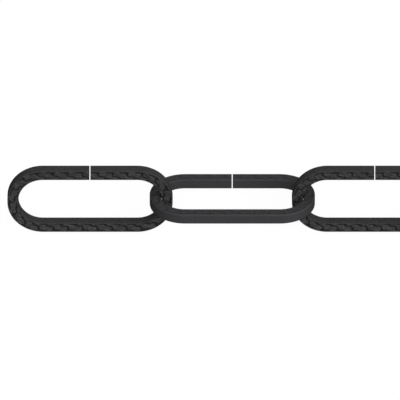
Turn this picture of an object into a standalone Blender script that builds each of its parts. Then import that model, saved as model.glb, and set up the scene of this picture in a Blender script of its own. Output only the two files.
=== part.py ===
"""A metre of hammered iron chain laid out straight: long links of square bar with unwelded joints.

Metres, +Z up. The chain runs along X and rests on the floor, z = 0, with its middle over the
origin. Neighbouring links stand square to each other, and each one leans half way over, so that
it lies on the arris of its lower bar.
"""

from math import cos, pi, radians, sin, sqrt

import bmesh
import bpy
from mathutils import Vector

# The bar and the link that is bent from it
BAR = 0.010  # square bar, across its flats
ARRIS_RADIUS = 0.0011  # the bar's four corners, dulled by the hammer
LINK_LENGTH = 0.149  # outside, tip to tip
LINK_WIDTH = 0.0665  # outside, over the two long sides
BEND_RADIUS = 0.032  # outside radius of each quarter bend
BUTT_GAP = 0.0009  # the bar's two ends meet unwelded, this far apart

# The chain
LINK_COUNT = 8
SLACK = 0.0008  # what is left at each crossing when the chain is drawn out straight
LEAN = radians(45)  # between a link's plane and the floor

# How finely round shapes are cut
BEND_STEPS = 12  # in each quarter bend
ARRIS_STEPS = 2  # in each corner of the bar
SHARP_OVER = radians(50)  # edges that turn less than this are shaded round

# Worked out from these
PITCH = LINK_LENGTH - 2 * BAR - SLACK  # from one link's middle to the next one's
TO_BAR = (LINK_WIDTH - BAR) / 2  # from the link's middle line to the middle of a long side
BEND_X = LINK_LENGTH / 2 - BEND_RADIUS  # where the quarter bends begin and end
BEND_Y = LINK_WIDTH / 2 - BEND_RADIUS
LOWEST_ARRIS = (BAR / 2 - ARRIS_RADIUS) * sqrt(2) + ARRIS_RADIUS  # from a leaning bar's middle
AXIS_HEIGHT = TO_BAR * sin(LEAN) + LOWEST_ARRIS

BLACK_IRON = (0.040, 0.040, 0.042, 1.0)


def clear_scene():
    for thing in list(bpy.data.objects):
        bpy.data.objects.remove(thing)


def black_iron():
    """Forged iron with its dark, matte scale."""
    material = bpy.data.materials.new("black_iron")
    material.use_nodes = True
    shader = material.node_tree.nodes["Principled BSDF"]
    shader.inputs["Base Color"].default_value = BLACK_IRON
    shader.inputs["Metallic"].default_value = 0.6
    shader.inputs["Roughness"].default_value = 0.6
    return material


def bar_section():
    """The bar's outline, as offsets (across, up) from its middle: a square with rounded corners."""
    to_corner = BAR / 2 - ARRIS_RADIUS
    outline = []
    for corner in range(4):
        start = corner * pi / 2
        middle = start + pi / 4
        across = to_corner * sqrt(2) * cos(middle)
        up = to_corner * sqrt(2) * sin(middle)
        for step in range(ARRIS_STEPS + 1):
            angle = start + step / ARRIS_STEPS * pi / 2
            outline.append((across + ARRIS_RADIUS * cos(angle), up + ARRIS_RADIUS * sin(angle)))
    return outline


def only_edges(geometry):
    return [item for item in geometry if isinstance(item, bmesh.types.BMEdge)]


def run_straight(mesh, end_edges, offset):
    """Draw the bar out from its open end, and return the new end."""
    grown = bmesh.ops.extrude_edge_only(mesh, edges=end_edges)["geom"]
    corners = [item for item in grown if isinstance(item, bmesh.types.BMVert)]
    bmesh.ops.translate(mesh, verts=corners, vec=offset)
    return only_edges(grown)


def run_bend(mesh, end_edges, centre):
    """Bend the bar on through a quarter turn about a point, and return the new end."""
    turned = bmesh.ops.spin(
        mesh,
        geom=end_edges,
        cent=centre,
        axis=(0, 0, 1),
        angle=-pi / 2,
        steps=BEND_STEPS,
        use_duplicate=False,
    )
    return only_edges(turned["geom_last"])


def link_mesh():
    """One link flat in XY, its bar run clockwise from one side of the butt joint to the other."""
    mesh = bmesh.new()
    joint_x = BUTT_GAP / 2
    corners = [mesh.verts.new((joint_x, TO_BAR + across, up)) for across, up in bar_section()]
    end = [mesh.edges.new(pair) for pair in zip(corners, corners[1:] + corners[:1])]

    half_side = Vector((BEND_X - joint_x, 0, 0))
    whole_side = Vector((2 * BEND_X, 0, 0))
    tip = Vector((0, 2 * BEND_Y, 0))
    end = run_straight(mesh, end, half_side)
    end = run_bend(mesh, end, (BEND_X, BEND_Y, 0))
    end = run_straight(mesh, end, -tip)
    end = run_bend(mesh, end, (BEND_X, -BEND_Y, 0))
    end = run_straight(mesh, end, -whole_side)
    end = run_bend(mesh, end, (-BEND_X, -BEND_Y, 0))
    end = run_straight(mesh, end, tip)
    end = run_bend(mesh, end, (-BEND_X, BEND_Y, 0))
    run_straight(mesh, end, half_side)

    open_edges = [edge for edge in mesh.edges if edge.is_boundary]
    bmesh.ops.holes_fill(mesh, edges=open_edges)
    bmesh.ops.recalc_face_normals(mesh, faces=mesh.faces)
    data = bpy.data.meshes.new("link")
    mesh.to_mesh(data)
    mesh.free()
    data.shade_smooth()
    data.set_sharp_from_angle(angle=SHARP_OVER)
    return data


def place_links(data):
    """Thread the links in a row, leaning to alternate sides, each hanging on the one before."""
    first_x = -PITCH * (LINK_COUNT - 1) / 2
    for index in range(LINK_COUNT):
        link = bpy.data.objects.new(f"link_{index + 1:02d}", data)
        link.location = (first_x + PITCH * index, 0, AXIS_HEIGHT)
        link.rotation_euler.x = LEAN if index % 2 == 0 else -LEAN
        bpy.context.scene.collection.objects.link(link)


clear_scene()
link_data = link_mesh()
link_data.materials.append(black_iron())
place_links(link_data)
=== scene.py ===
# %% [markdown]
# # A length of hammered iron chain
#
# The chain is eight long links. Each link is one square iron bar that was rolled with rows of
# hammer marks on two opposite faces, sawn to length, bent round at both ends and blackened. The
# ends of the bar meet in the middle of a long side and are left open.
#
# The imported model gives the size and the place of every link, and how the links swing. This script
# makes their finish. It models one link closely, in the order in which a smith would make it, and
# puts a copy of it in the place of each packed link.

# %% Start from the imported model
from math import atan, cos, pi, radians, sin, tan

import bmesh
import bpy
from mathutils import Matrix, Vector


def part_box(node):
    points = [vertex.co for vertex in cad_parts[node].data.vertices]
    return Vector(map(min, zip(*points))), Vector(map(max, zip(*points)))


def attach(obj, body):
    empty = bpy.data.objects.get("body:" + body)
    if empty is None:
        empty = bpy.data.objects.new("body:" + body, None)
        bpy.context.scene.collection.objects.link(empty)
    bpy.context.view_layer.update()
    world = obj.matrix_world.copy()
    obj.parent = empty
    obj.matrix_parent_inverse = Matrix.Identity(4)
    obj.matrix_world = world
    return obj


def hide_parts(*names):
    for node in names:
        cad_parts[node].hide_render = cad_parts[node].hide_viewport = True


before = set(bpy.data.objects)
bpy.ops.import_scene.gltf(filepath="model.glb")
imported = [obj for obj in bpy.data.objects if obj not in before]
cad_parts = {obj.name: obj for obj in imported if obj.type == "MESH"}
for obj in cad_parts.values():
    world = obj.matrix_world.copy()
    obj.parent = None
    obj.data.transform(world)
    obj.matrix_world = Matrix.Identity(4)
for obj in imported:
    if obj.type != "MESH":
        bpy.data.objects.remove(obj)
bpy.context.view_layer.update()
LINKS = sorted(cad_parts)


def in_mm(length):
    """A length in millimetres, for printing."""
    return round(length * 1000, 2)


print("links:", ", ".join(LINKS))

# %% [markdown]
# The first numbers are the link's own, in metres. It is bent from a bar 10 mm square, whose four
# long corners, the arrises, are slightly rounded. Everything else on a link follows from these
# sizes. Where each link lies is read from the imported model: its middle is the middle of its box.

# %% Sizes of a link
BAR = 0.010  # square, from flat to flat
ARRIS = 0.0011  # how far the rounding of a corner reaches
LINK_LENGTH = 0.149  # outside
LINK_WIDTH = 0.0665  # outside
BEND = 0.027  # radius of the bends, to the middle of the bar
JOINT = 0.0009  # how far apart the bar's two ends are
LEAN = radians(45)  # between a link and the floor


def middle_of(node):
    """The middle of a packed link's box."""
    low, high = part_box(node)
    return (low + high) / 2


left_corner, right_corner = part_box(LINKS[0])
pitch = middle_of(LINKS[1]).x - middle_of(LINKS[0]).x
print("first link is", in_mm(right_corner.x - left_corner.x), "mm long")
print("from link to link:", in_mm(pitch), "mm")

# %% [markdown]
# ## The camera
#
# The picture looks down on the chain from 79 degrees above the floor and shows no perspective: the
# near side of a link is as large as the far side. A camera with a very long lens, far away, does
# the same. It looks at the second link, and the right edge of the picture cuts through the third.

# %% Camera
CAMERA_HEIGHT = radians(79.2)  # above the floor
CAMERA_DISTANCE = 12.0
SENSOR = 36.0  # in millimetres, as the lens is
PICTURE_WIDTH = 0.36057  # how much of the chain's length the picture shows
PICTURE_MIDDLE = 0.0991  # to the right of the first link's middle
PICTURE_DROP = 0.0011  # down from the first link's middle


def put_in_scene(thing):
    bpy.context.scene.collection.objects.link(thing)


camera_data = bpy.data.cameras.new("camera")
camera_data.sensor_width = SENSOR
camera_data.lens = SENSOR * CAMERA_DISTANCE / PICTURE_WIDTH
camera_data.clip_end = 2 * CAMERA_DISTANCE
camera = bpy.data.objects.new("camera", camera_data)
put_in_scene(camera)
bpy.context.scene.camera = camera
turn = Matrix.Rotation(radians(90) - CAMERA_HEIGHT, 3, "X")
target = middle_of(LINKS[0]) + Vector((PICTURE_MIDDLE, 0, 0)) - turn @ Vector((0, PICTURE_DROP, 0))
camera.location = target + turn @ Vector((0, 0, CAMERA_DISTANCE))
camera.rotation_euler = turn.to_euler()
print("camera at", [round(v, 3) for v in camera.location])

# %% [markdown]
# ## Helpers for working by hand
#
# An operator acts on what is selected. So each step below first selects faces, edges or points by
# their place, as a person would click on them, and then calls one operator.

# %% Selecting by place
CLOSE = 0.00001  # places that are nearer to each other than this count as one
FACING = 0.95  # how nearly a face's normal follows an axis, for the face to look that way


def close(a, b):
    return abs(a - b) < CLOSE


def take_up(piece):
    """Makes this piece the only one that is selected."""
    bpy.ops.object.select_all(action="DESELECT")
    piece.select_set(True)
    bpy.context.view_layer.objects.active = piece


def start_editing(piece):
    take_up(piece)
    bpy.ops.object.mode_set(mode="EDIT")


def stop_editing():
    bpy.ops.object.mode_set(mode="OBJECT")


def centre_of(item):
    """The place of a point, or the middle of an edge or a face."""
    if isinstance(item, bmesh.types.BMVert):
        return item.co
    corners = [v.co for v in item.verts]
    return sum(corners, Vector()) / len(corners)


def pick(kind, wanted):
    """Selects the points, edges or faces for which wanted(item, its middle) is true."""
    bpy.ops.mesh.select_mode(type=kind)
    bpy.ops.mesh.select_all(action="DESELECT")
    piece = bpy.context.object
    mesh = bmesh.from_edit_mesh(piece.data)
    items = {"VERT": mesh.verts, "EDGE": mesh.edges, "FACE": mesh.faces}[kind]
    chosen = [item for item in items if wanted(item, centre_of(item))]
    for item in chosen:
        item.select_set(True)
    mesh.select_flush_mode()
    bmesh.update_edit_mesh(piece.data)
    return len(chosen)


def cut(place, direction):
    """Cuts new edges where a plane passes through the piece."""
    bpy.ops.mesh.select_all(action="SELECT")
    bpy.ops.mesh.bisect(plane_co=place, plane_no=direction)


def remember(piece, name):
    """Adds the selected points to a vertex group, so that the finish can find them."""
    group = piece.vertex_groups.get(name) or piece.vertex_groups.new(name=name)
    piece.vertex_groups.active_index = group.index
    bpy.ops.object.vertex_group_assign()


# %% [markdown]
# ## One hammer mark
#
# Such bar goes hot between two rolls that press the marks in, so the marks come round again and
# again at the same distance. They lie like scales: two rows, the inner one half a mark later, and
# each scale rises slowly along the bar until it drops into a crease, where the next one starts. The
# creases make a stair across the bar. Beside the half of a mark where the two rows run together,
# the crease follows the edge of the face instead.
#
# Displacement from a pattern could draw this, but then the marks would only be as sharp as the mesh
# is fine. Here one mark's length of bar is modelled, with few faces, and all of them are made from
# it. Only the upper half is modelled, and a mirror makes the lower. The piece is cut off where the
# rows run together, because no crease crosses it there. Its plain sides go into a vertex group
# named rolled, by which the finish will know them.

# %% A short piece of plain bar
MARKS = 26  # round the whole link
straights = 2 * (LINK_LENGTH + LINK_WIDTH - 2 * BAR - 4 * BEND)
BAR_LENGTH = straights + 2 * pi * BEND - JOINT
MARK = BAR_LENGTH / MARKS
FACE_HEIGHT = BAR / 2  # from the middle of the bar to the hammered face
ARRIS_STEPS = 3
HOLDING_EDGE = 0.0004  # an edge this far below the arris keeps the arris narrow

bpy.ops.object.select_all(action="DESELECT")
bpy.ops.mesh.primitive_cube_add(
    size=1,
    location=(MARK / 2, 0, FACE_HEIGHT / 2),
    scale=(MARK, BAR, FACE_HEIGHT),
)
bar = bpy.context.object
bar.name = "hammered_bar"
bpy.ops.object.transform_apply(location=True, rotation=True, scale=True)
start_editing(bar)
pick("FACE", lambda face, at: abs(face.normal.x) > FACING or face.normal.z < -FACING)
bpy.ops.mesh.delete(type="FACE")
pick("EDGE", lambda edge, at: close(at.z, FACE_HEIGHT) and close(abs(at.y), BAR / 2))
bpy.ops.mesh.bevel(offset=ARRIS, segments=ARRIS_STEPS, affect="EDGES")
cut((0, 0, FACE_HEIGHT - ARRIS - HOLDING_EDGE), (0, 0, 1))
pick("FACE", lambda face, at: abs(face.normal.y) > FACING)
remember(bar, "rolled")
stop_editing()
print("plain piece:", in_mm(MARK), "mm long,", len(bar.data.polygons), "faces")

# %% [markdown]
# Seen from above, the creases follow straight lines: one on each side of the marks, one between the
# rows, and one slanting step across each row. Drawing each crease by hand would need a knife and a
# steady eye. Bisect puts an edge exactly where a plane cuts the piece, and an edge too many does no
# harm while it lies flat. One more cut, half way along, gives the crease between the rows a point
# in its middle.

# %% Cutting the lines of the creases
OUTER_EDGE = 0.0032  # from the middle of the bar, towards the outside of the link
INNER_EDGE = -0.0035
ROW_LINE = -0.0016  # between the two rows
OUTER_ROW = (OUTER_EDGE + ROW_LINE) / 2
INNER_ROW = (ROW_LINE + INNER_EDGE) / 2
OUTER_STEP = MARK / 4  # along the bar, from where the piece is cut off
INNER_STEP = MARK * 3 / 4
OUTER_SLANT = radians(8)
INNER_SLANT = radians(20)

start_editing(bar)
for line in (INNER_EDGE, ROW_LINE, OUTER_EDGE):
    cut((0, line, 0), (0, 1, 0))
cut((MARK / 2, 0, 0), (1, 0, 0))
cut((OUTER_STEP, OUTER_ROW, 0), (cos(OUTER_SLANT), sin(OUTER_SLANT), 0))
cut((INNER_STEP, INNER_ROW, 0), (cos(INNER_SLANT), sin(INNER_SLANT), 0))
stop_editing()
print("with the lines of the creases:", len(bar.data.polygons), "faces")

# %% [markdown]
# The scales are inset, which leaves a narrow border beside each crease. Where two rows run together
# they are inset as one. Then each scale is turned about its own middle, so that it rises along the
# bar, and all marks sink a little below the face. Pulling the points up one by one would give the
# same slope, but a turn keeps each scale flat.

# %% Insetting the marks
BORDER = 0.0008


def on_face(face, at):
    return face.normal.z > FACING and INNER_EDGE < at.y < OUTER_EDGE


def is_outer(at):
    return at.y > ROW_LINE


def before_step(at):
    """True on the scale that ends in this piece, false on the one that starts in it."""
    if is_outer(at):
        return at.x < OUTER_STEP - (at.y - OUTER_ROW) * tan(OUTER_SLANT)
    return at.x < INNER_STEP - (at.y - INNER_ROW) * tan(INNER_SLANT)


start_editing(bar)
ending = pick("FACE", lambda face, at: on_face(face, at) and before_step(at))
bpy.ops.mesh.inset(thickness=BORDER, use_boundary=False)
starting = pick("FACE", lambda face, at: on_face(face, at) and not before_step(at))
bpy.ops.mesh.inset(thickness=BORDER, use_boundary=False)
stop_editing()
print("faces on the ending scales:", ending, "and on the starting ones:", starting)

# %% Tilting the marks
MARK_RISE = 0.0005  # along one whole mark
STEP_REACH = MARK / 8  # how far a step's slant may carry it along the bar
slope = atan(MARK_RISE / MARK)


def on_stair_line(at):
    """True on the row line between the two steps."""
    return close(at.y, ROW_LINE) and OUTER_STEP - STEP_REACH < at.x < INNER_STEP + STEP_REACH


def on_edge_line(at):
    return close(at.y, OUTER_EDGE) or close(at.y, INNER_EDGE)


def on_border(face):
    """True for the narrow faces that the inset left beside the creases."""
    return any(on_edge_line(v.co) or on_stair_line(v.co) for v in face.verts)


def tilt_mark(outer, ending):
    """Turns one scale about its own middle, half a mark away from its step."""
    step = OUTER_STEP if outer else INNER_STEP
    middle = step - MARK / 2 if ending else step + MARK / 2

    def on_mark(face, at):
        inside = on_face(face, at) and is_outer(at) == outer and before_step(at) == ending
        return inside and not on_border(face)

    count = pick("FACE", on_mark)
    centre = (middle, 0, FACE_HEIGHT)
    bpy.ops.transform.rotate(value=slope, orient_axis="Y", center_override=centre)
    return count


def inside_marks(vert, at):
    between_edges = INNER_EDGE + CLOSE < at.y < OUTER_EDGE - CLOSE
    return between_edges and at.z > FACE_HEIGHT - MARK_RISE and not on_stair_line(at)


start_editing(bar)
tilted = tilt_mark(outer=True, ending=True)
tilted += tilt_mark(outer=True, ending=False)
tilted += tilt_mark(outer=False, ending=True)
tilted += tilt_mark(outer=False, ending=False)
pick("VERT", inside_marks)
bpy.ops.transform.translate(value=(0, 0, -MARK_RISE / 2))
stop_editing()
print("faces tilted:", tilted)

# %% [markdown]
# The crease lines between the borders are pushed down. Each becomes a groove as wide as two
# borders, with steep sides. The pushed points go into a vertex group, which later tells the finish
# where to paint shade into the creases, and the points on the arrises go into another. These two
# groups are filled only now, because a cut gives its new points the weights of their neighbours.

# %% Pressing the creases in
CREASE = 0.0007  # how deep the stair is
EDGE_CREASE = 0.0006  # how deep the creases along the edges of the face are


def in_stair(vert, at):
    return on_stair_line(at) and at.z > FACE_HEIGHT - MARK_RISE


def beside_joined_rows(vert, at):
    """The points on the face's edge lines, beside the half where the rows run together."""
    joined = at.x < OUTER_STEP + CLOSE or at.x > INNER_STEP - CLOSE
    return on_edge_line(at) and joined


def on_arris(vert, at):
    return abs(at.y) > BAR / 2 - ARRIS - CLOSE and at.z > FACE_HEIGHT - ARRIS - CLOSE


start_editing(bar)
pressed = pick("VERT", in_stair)
bpy.ops.transform.translate(value=(0, 0, -CREASE))
remember(bar, "crease")
pressed += pick("VERT", beside_joined_rows)
bpy.ops.transform.translate(value=(0, 0, -EDGE_CREASE))
remember(bar, "crease")
on_arrises = pick("VERT", on_arris)
remember(bar, "arris")
stop_editing()
print("points pressed in:", pressed, "and on the arrises:", on_arrises)

# %% [markdown]
# ## The whole bar
#
# A mirror makes the lower half and an array repeats the piece along the bar. One mark more than is
# needed is made, because the joint doesn't fall where the piece is cut off, and both ends of the
# row are sawn off later. No two marks come out of the rolls quite alike, so their points are then
# shaken by about a tenth of a millimetre.

# %% Mirror and array
def apply_modifier(piece, kind, **settings):
    """Adds a modifier, gives it its settings and applies it."""
    take_up(piece)
    modifier = piece.modifiers.new(kind.lower(), kind)
    for name, value in settings.items():
        setattr(modifier, name, value)
    bpy.ops.object.modifier_apply(modifier=modifier.name)


apply_modifier(bar, "MIRROR", use_axis=(False, False, True), merge_threshold=CLOSE)
apply_modifier(
    bar,
    "ARRAY",
    count=MARKS + 1,
    use_relative_offset=False,
    use_constant_offset=True,
    constant_offset_displace=(MARK, 0, 0),
    use_merge_vertices=True,
    merge_threshold=CLOSE,
)
print("bar:", len(bar.data.polygons), "faces")

# %% Shaking the marks
SHAKE = 0.00013
SEED = 7


def on_any_mark(vert, at):
    return INNER_EDGE + CLOSE < at.y < OUTER_EDGE - CLOSE and abs(at.z) > FACE_HEIGHT / 2


start_editing(bar)
shaken = pick("VERT", on_any_mark)
bpy.ops.transform.vertex_random(offset=SHAKE, seed=SEED)
stop_editing()
print("points shaken:", shaken)

# %% [markdown]
# Subdivision rounds the marks and the arrises. Bevels could do that too, but where so many short
# edges meet at a crease they would overlap. Subdivision also spreads the vertex groups' weights, so
# that they fade out beside each crease and each arris.

# %% Smoothing
SMOOTHING = 2

apply_modifier(bar, "SUBSURF", levels=SMOOTHING, render_levels=SMOOTHING)
print("smoothed bar:", len(bar.data.polygons), "faces")

# %% [markdown]
# The bar is sawn off square at both ends. It is first moved along, so that the cuts fall as far
# from a step as they do beside the real joint. Bisect can throw away what lies beyond its plane and
# fill the hole, which makes a flat sawn end in one step. While the bar is still straight it gets
# its UV map, because streaks that follow it round the bends need one.

# %% Sawing the bar to length
SPARE = OUTER_STEP + MARK / 2  # how much is sawn off the first end


def saw_off(end, outwards):
    """Cuts the bar square at this place, removes what lies outwards of it and fills the cut."""
    bpy.ops.mesh.select_all(action="SELECT")
    bpy.ops.mesh.bisect(
        plane_co=(end, 0, 0),
        plane_no=(outwards, 0, 0),
        clear_outer=True,
        use_fill=True,
        threshold=CLOSE,
    )


start_editing(bar)
bpy.ops.mesh.select_all(action="SELECT")
bpy.ops.transform.translate(value=(-SPARE, 0, 0))
saw_off(0, -1)
saw_off(BAR_LENGTH, 1)
bpy.ops.mesh.select_all(action="SELECT")
bpy.ops.mesh.normals_make_consistent(inside=False)
bpy.ops.uv.cube_project(cube_size=BAR)
stop_editing()
places = [v.co.x for v in bar.data.vertices]
print("sawn bar, mm:", in_mm(min(places)), "to", in_mm(max(places)))

# %% [markdown]
# ## Bending the link
#
# A smith bends the bar round a former. Here the former is the link's centre line: a rectangle with
# round corners, cut open at the joint. A Curve modifier lays the straight bar along it, so the
# marks follow the bends. Spin could bend each corner of a plain bar, but not one with marks on it.

# %% The centre line
CORNER_STEPS = 60
over_x = LINK_LENGTH - BAR
over_y = LINK_WIDTH - BAR

bpy.ops.object.select_all(action="DESELECT")
bpy.ops.mesh.primitive_plane_add(size=1, location=(0, 0, 0))
centre_line = bpy.context.object
centre_line.name = "centre_line"
centre_line.scale = (over_x, over_y, 1)
bpy.ops.object.transform_apply(location=True, rotation=True, scale=True)
start_editing(centre_line)
pick("FACE", lambda face, at: True)
bpy.ops.mesh.delete(type="ONLY_FACE")
bpy.ops.mesh.select_all(action="SELECT")
bpy.ops.mesh.bevel(offset=BEND, segments=CORNER_STEPS, affect="VERTICES")
for side in (-1, 1):
    pick("EDGE", lambda edge, at: close(at.y, over_y / 2) and edge.calc_length() > LINK_WIDTH / 2)
    bpy.ops.mesh.bisect(plane_co=(side * JOINT / 2, 0, 0), plane_no=(1, 0, 0))
pick("EDGE", lambda edge, at: close(at.x, 0) and at.y > 0)
bpy.ops.mesh.delete(type="EDGE")
stop_editing()
bpy.ops.object.convert(target="CURVE")
centre_line = bpy.context.object
start_x = centre_line.data.splines[0].points[0].co.x
print("the centre line starts at x =", in_mm(start_x), "mm")

# %% Bending
if start_x < 0:
    start_editing(centre_line)
    bpy.ops.curve.select_all(action="SELECT")
    bpy.ops.curve.switch_direction()
    stop_editing()
apply_modifier(bar, "CURVE", object=centre_line, deform_axis="POS_X")
bpy.data.objects.remove(centre_line)
for axis in range(3):
    places = [v.co[axis] for v in bar.data.vertices]
    print("link along", "XYZ"[axis], "mm:", in_mm(min(places)), "to", in_mm(max(places)))

# %% [markdown]
# ## The finish
#
# The iron is blackened: it was oiled while hot, which burns to a thin dark skin. The skin is matte
# and a little uneven in tone, and rubbed thinner on the arrises, where hands and other links touch
# it. The creases are painted nearly black, as painted shade where the grooves lie in shadow. The
# hammered faces are pitted, and the high spots between the pits are painted lighter: partly rubbed
# wear, partly painted highlight. Not all links took the oil alike: the second has a thin skin with a
# faint blue cast, and the painted shade of its creases hardly shows, while on the first and the
# third it is full.
#
# A material can't read a vertex group, so the weights are first written to attributes, which stay
# with the mesh wherever it goes. Each link will also carry an attribute that says how black its
# skin is: 1 on the blackest links, where the pits, the lighter high spots and the painted shade of
# the creases are strongest.

# %% Writing the groups into the mesh
def write_weights(piece, group_name):
    """Turns a vertex group into an attribute of the same name."""
    mesh = piece.data
    group = piece.vertex_groups[group_name]
    weights = [0.0] * len(mesh.vertices)
    for vert in mesh.vertices:
        for entry in vert.groups:
            if entry.group == group.index:
                weights[vert.index] = entry.weight
    piece.vertex_groups.remove(group)
    attribute = mesh.attributes.new(name=group_name, type="FLOAT", domain="POINT")
    attribute.data.foreach_set("value", weights)
    return sum(weight > 0 for weight in weights)


for group_name in ("crease", "arris", "rolled"):
    print("points marked", group_name + ":", write_weights(bar, group_name))

# %% [markdown]
# The nodes are made with a few short helpers, each of which adds one node and returns its output.
# Patterns are read in Object coordinates, in metres: 500 waves to the metre make about one wave
# every two millimetres. All links lie in the same coordinates, so each gets its own part of a
# pattern.

# %% Helpers for the material
iron = bpy.data.materials.new("blackened_iron")
iron.use_nodes = True
nodes = iron.node_tree.nodes
wires = iron.node_tree.links
shader = nodes["Principled BSDF"]
coordinates = nodes.new("ShaderNodeTexCoord")
in_place = coordinates.outputs["Object"]


def marked(name):
    """Where the mesh was marked with this name: 1 there, and 0 elsewhere."""
    reader = nodes.new("ShaderNodeAttribute")
    reader.attribute_name = name
    return reader.outputs["Fac"]


def noise(pattern, at):
    """An uneven pattern, given by its waves to the metre and how many finer layers they have."""
    waves, layers = pattern
    texture = nodes.new("ShaderNodeTexNoise")
    texture.inputs["Scale"].default_value = waves
    texture.inputs["Detail"].default_value = layers
    wires.new(at, texture.inputs["Vector"])
    return texture.outputs["Fac"]


def spread(amount, limits, low=0, high=1):
    """Goes smoothly from low to high while the amount goes from the first limit to the second."""
    start, end = limits
    ramp = nodes.new("ShaderNodeMapRange")
    ramp.interpolation_type = "SMOOTHSTEP"
    settings = {"From Min": start, "From Max": end, "To Min": low, "To Max": high}
    for name, value in settings.items():
        ramp.inputs[name].default_value = value
    wires.new(amount, ramp.inputs["Value"])
    return ramp.outputs["Result"]


def combine(operation, first, second):
    """Adds, subtracts or multiplies two patterns, or a pattern and a number."""
    maths = nodes.new("ShaderNodeMath")
    maths.operation = operation
    for socket, value in zip(maths.inputs, (first, second)):
        if isinstance(value, (int, float)):
            socket.default_value = value
        else:
            wires.new(value, socket)
    return maths.outputs["Value"]


def blend_colours(first, second, amount):
    """The first colour where the amount is 0, and the second where it is 1."""
    mixer = nodes.new("ShaderNodeMix")
    mixer.data_type = "RGBA"
    for socket, value in ((mixer.inputs["A"], first), (mixer.inputs["B"], second)):
        if isinstance(value, tuple):
            socket.default_value = value
        else:
            wires.new(value, socket)
    wires.new(amount, mixer.inputs["Factor"])
    return mixer.outputs["Result"]


# %% [markdown]
# The colour is built up in layers: first the skin itself, mottled, with the blue cast where it is
# thin, then what is rubbed off it together with the painted highlight on the high spots, and the
# painted shade of the creases last. One flat colour would make the iron look like plastic. A noise
# wavers about a half, and each layer comes in between two limits: the nearer these are to each
# other, the sharper are the layer's edges.

# %% The skin
THIN_SKIN = (0.038, 0.038, 0.038, 1)
THICK_SKIN = (0.031, 0.031, 0.031, 1)
BLUE_SKIN = (0.036, 0.036, 0.039, 1)
MOTTLES = (260, 5)
MOTTLES_COME_IN = (0.35, 0.65)
BLUE_CLOUDS = (9, 1)
BLUE_COMES_IN = (0.6, 1.2)

burn_and_shade = marked("burn_and_shade")
mottling = spread(noise(MOTTLES, in_place), MOTTLES_COME_IN)
thinness = combine("SUBTRACT", 1, burn_and_shade)
blueing = spread(combine("ADD", thinness, noise(BLUE_CLOUDS, in_place)), BLUE_COMES_IN)
tone = blend_colours(THIN_SKIN, THICK_SKIN, mottling)
tone = blend_colours(tone, BLUE_SKIN, blueing)
print("the skin is", len(nodes), "nodes")

# %% Rubbed arrises, and high spots with wear and painted highlight
RUBBED = (0.039, 0.039, 0.039, 1)
RUBBED_AMOUNT = 0.4
RUBBED_PATCHES = (120, 3)
PATCHES_COME_IN = (0.45, 0.65)
WORN_AND_HIGHLIT_SPOT = (0.050, 0.050, 0.050, 1)
PITS = (380, 1.5)
HIGH_SPOTS_COME_IN = (0.5, 0.62)

patches = spread(noise(RUBBED_PATCHES, in_place), PATCHES_COME_IN, high=RUBBED_AMOUNT)
wear = combine("MULTIPLY", marked("arris"), patches)
tone = blend_colours(tone, RUBBED, wear)
# The high spots between the pits are painted lighter: partly rubbed wear, partly painted highlight
# on the raised parts of the relief.
rolled = marked("rolled")
pitted = combine("MULTIPLY", combine("SUBTRACT", 1, rolled), burn_and_shade)
pits = noise(PITS, in_place)
worn_and_highlit_spots = combine("MULTIPLY", spread(pits, HIGH_SPOTS_COME_IN), pitted)
tone = blend_colours(tone, WORN_AND_HIGHLIT_SPOT, worn_and_highlit_spots)
print("with the rubbing it is", len(nodes), "nodes")

# %% Painted shade in the creases
CREASE_SHADE = (0.005, 0.005, 0.005, 1)
CREASE_COMES_IN = (0.0, 0.5)
CREASE_BREAKS = (330, 2)
CREASE_UNEVEN = 0.6
NOISE_MIDDLE = 0.5

# Painted shade: the creases are painted nearly black, where the grooves lie in shadow. A noise
# breaks the dark lines up, and each link's value sets how strong the shade is.
breaks = combine("SUBTRACT", noise(CREASE_BREAKS, in_place), NOISE_MIDDLE)
breaks = combine("MULTIPLY", breaks, CREASE_UNEVEN)
crease = spread(combine("ADD", marked("crease"), breaks), CREASE_COMES_IN)
tone = blend_colours(tone, CREASE_SHADE, combine("MULTIPLY", crease, burn_and_shade))
wires.new(tone, shader.inputs["Base Color"])
print("the whole colour is", len(nodes), "nodes")

# %% [markdown]
# The skin is matte, and a little glossier where it is rubbed. Under a lens its surface is grainy.
# The pits that the colour already follows are now pressed in: they are deepest on the links that
# burnt blackest. The two plain sides of the bar keep fine streaks from the rolls instead. These run
# along the bar and follow its bends, so they are read from the UV map. One unit of it is a bar's
# width. All of this is so shallow that a bump does it and the mesh stays light. The grain and the
# streaks are given as parts of the deepest pattern, the pits.

# %% Gloss
SHINE = 0.25
MATTE = 0.70
LESS_MATTE = 0.58
MATTE_PATCHES = (400, 3)
MATTE_COMES_IN = (0.3, 0.7)
GLOSS_OF_WEAR = 0.15

shader.inputs["Specular IOR Level"].default_value = SHINE
roughness = spread(noise(MATTE_PATCHES, in_place), MATTE_COMES_IN, low=LESS_MATTE, high=MATTE)
polish = combine("MULTIPLY", wear, GLOSS_OF_WEAR / RUBBED_AMOUNT)
wires.new(combine("SUBTRACT", roughness, polish), shader.inputs["Roughness"])
print("with the gloss it is", len(nodes), "nodes")

# %% Grain, streaks and pits
PIT_DEPTH = 0.0015
GRAIN = 0.04
FINE_GRAIN = (2200, 2)
COARSE_GRAIN = (700, 4)
STREAKS = 0.04
STREAK_LENGTH = 3.0  # in bar's widths
STREAK_WIDTH = 0.06
ONE_STREAK = (1, 2)

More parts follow.
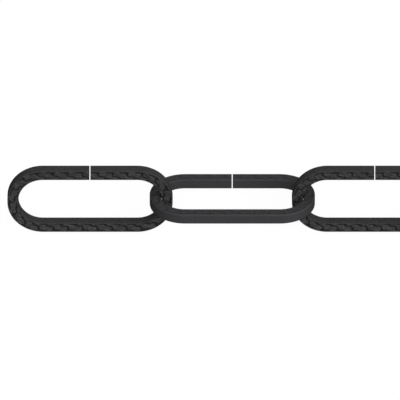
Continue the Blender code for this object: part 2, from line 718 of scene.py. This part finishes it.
along_bar = nodes.new("ShaderNodeMapping")
along_bar.inputs["Scale"].default_value = (1 / STREAK_LENGTH, 1 / STREAK_WIDTH, 1)
wires.new(coordinates.outputs["UV"], along_bar.inputs["Vector"])
streaks = combine("MULTIPLY", noise(ONE_STREAK, along_bar.outputs["Vector"]), rolled)
streaks = combine("MULTIPLY", streaks, STREAKS)
grain = combine("ADD", noise(FINE_GRAIN, in_place), noise(COARSE_GRAIN, in_place))
grain = combine("MULTIPLY", grain, GRAIN)
surface = combine("ADD", combine("ADD", grain, streaks), combine("MULTIPLY", pits, pitted))
bump = nodes.new("ShaderNodeBump")
bump.inputs["Distance"].default_value = PIT_DEPTH
wires.new(surface, bump.inputs["Height"])
wires.new(bump.outputs["Normal"], shader.inputs["Normal"])
bar.data.materials.append(iron)
print("the whole finish is", len(nodes), "nodes")

# %% [markdown]
# ## The chain
#
# A packed link lies with its middle in the middle of its box and leans 45 degrees to one side, the
# next one to the other side. Each gets its own copy of the modelled link, turned and moved in its
# mesh, so that the object itself stays at the origin. The copy rides on the link's body and takes
# the imported link's place in the picture, while the imported solid stays for collision. The copy is
# also marked with how black its skin is, which also sets how strong the painted shade of its creases
# is.

# %% Placing a copy for each link
SMOOTH_BELOW = radians(50)
# How black each link's skin is, which also scales the painted shade in its creases.
BURN_AND_SHADE = (1.0, 0.3, 1.0, 0.6, 0.9, 0.4, 0.8, 0.5)  # from the first link to the last

take_up(bar)
bpy.ops.object.shade_smooth_by_angle(angle=SMOOTH_BELOW)


def place_link(number, node):
    """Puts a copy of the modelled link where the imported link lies."""
    link = bar.copy()
    link.data = bar.data.copy()
    link.name = "hammered_" + node
    put_in_scene(link)
    lean = LEAN if number % 2 == 0 else -LEAN
    turn = Matrix.Rotation(lean, 4, "X")
    link.data.transform(Matrix.Translation(middle_of(node)) @ turn)
    blackness = link.data.attributes.new(name="burn_and_shade", type="FLOAT", domain="POINT")
    blackness.data.foreach_set("value", [BURN_AND_SHADE[number]] * len(link.data.vertices))
    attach(link, node)
    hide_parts(node)
    return link


links = [place_link(number, node) for number, node in enumerate(LINKS)]
bpy.data.objects.remove(bar)
print("placed:", ", ".join(link.name for link in links))

# %% [markdown]
# ## Floor and light
#
# The floor is a sheet of paper that glows white. Its own colour is dark, so nearly all of its
# white comes from the glow, and the links throw hardly a shadow on it. It is hidden from the iron,
# which it would otherwise light from below. A black cloth lies under the paper. It is hidden from
# the camera, and all that it does is keep the sky's light off the undersides of the links.

# %% Floor
FLOOR_SIZE = 12
CLOTH_DROP = 0.001
PAPER = (0.05, 0.05, 0.05, 1)
CLOTH = (0, 0, 0, 1)
WHITE = (1, 1, 1, 1)
GLOW = 0.95
DULL = 0.9


def lay_sheet(name, height, colour, glow):
    """A level sheet of one plain dull colour, which may glow."""
    bpy.ops.object.select_all(action="DESELECT")
    bpy.ops.mesh.primitive_plane_add(size=FLOOR_SIZE, location=(0, 0, height))
    sheet = bpy.context.object
    sheet.name = name
    surface = bpy.data.materials.new(name)
    surface.use_nodes = True
    sockets = surface.node_tree.nodes["Principled BSDF"].inputs
    sockets["Base Color"].default_value = colour
    sockets["Roughness"].default_value = DULL
    sockets["Specular IOR Level"].default_value = 0
    sockets["Emission Color"].default_value = WHITE
    sockets["Emission Strength"].default_value = glow
    sheet.data.materials.append(surface)
    return sheet


floor = lay_sheet("white_paper", 0, PAPER, GLOW)
floor.visible_diffuse = False
floor.visible_glossy = False
cloth = lay_sheet("black_cloth", -CLOTH_DROP, CLOTH, 0)
cloth.visible_camera = False
print("floor:", FLOOR_SIZE, "m square")

# %% [markdown]
# Most of the light is soft, and two suns with wide angles give it. The key light comes from the
# right, makes the left wall of each crease bright and the right wall dark, and so shows the marks.
# The second comes from above, a little from the viewer's side, and fills the tops of the bars. An
# even white sky lights every side alike. It was chosen over a room with lamps because the photo
# shows no highlights with edges.

# %% Lights
KEY_STRENGTH = 1.5
KEY_FROM = Vector((0.75, 0, 0.66))
KEY_ANGLE = radians(50)
FILL_STRENGTH = 0.95
FILL_FROM = Vector((0, -0.19, 0.98))
FILL_ANGLE = radians(20)


def add_sun(name, strength, comes_from, angle):
    """A far light. The wider its angle, the softer its shadows."""
    sun_data = bpy.data.lights.new(name, "SUN")
    sun_data.energy = strength
    sun_data.angle = angle
    sun = bpy.data.objects.new(name, sun_data)
    sun.rotation_euler = comes_from.to_track_quat("Z", "Y").to_euler()
    put_in_scene(sun)
    return sun


key = add_sun("key", KEY_STRENGTH, KEY_FROM, KEY_ANGLE)
fill = add_sun("fill", FILL_STRENGTH, FILL_FROM, FILL_ANGLE)
print("suns:", key.name, "and", fill.name)

# %% Sky
SKY = 0.6

world = bpy.data.worlds.new("studio")
world.use_nodes = True
background = world.node_tree.nodes["Background"]
background.inputs["Color"].default_value = WHITE
background.inputs["Strength"].default_value = SKY
bpy.context.scene.world = world
bpy.context.scene.view_settings.view_transform = "Standard"
print("sky strength", SKY, "all round")
